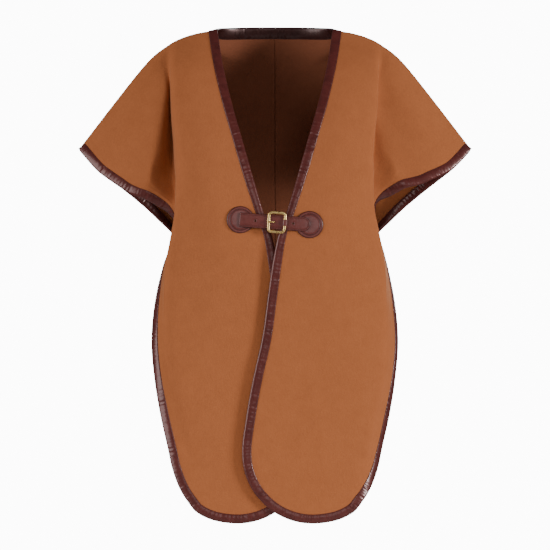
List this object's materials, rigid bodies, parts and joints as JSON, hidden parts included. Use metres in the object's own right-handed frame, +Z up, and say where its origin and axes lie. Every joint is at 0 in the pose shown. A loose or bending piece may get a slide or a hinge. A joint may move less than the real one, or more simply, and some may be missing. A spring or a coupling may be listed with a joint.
{
  "type": "cape coat",
  "caption": "Collarless felt cape coat with winged arms, open sides, leather-bound edges and rounded fronts that lap and close with a buckled strap, shown in its worn hollow form.",
  "frame": {"origin": "between the two neck points, where the shoulders carry the coat", "axes": "+X to the wearer's left, -Y out of the coat's front, +Z up"},
  "size_m": [0.7212, 0.2461, 0.905],
  "materials": {
    "wool": "matte felted wool",
    "leather": "glossy, slightly puckered",
    "brass": "polished"
  },
  "bodies": {
    "root": {"front_left": "wool", "front_right": "wool", "back_left": "wool", "back_right": "wool", "binding_front_left": "leather", "binding_front_right": "leather", "binding_back_neck": "leather", "binding_back_outer": "leather", "patch_left": "leather", "patch_right": "leather", "strap": "leather", "buckle_loop": "leather", "buckle_frame": "brass", "buckle_prong": "brass"}
  },
  "joints": []
}
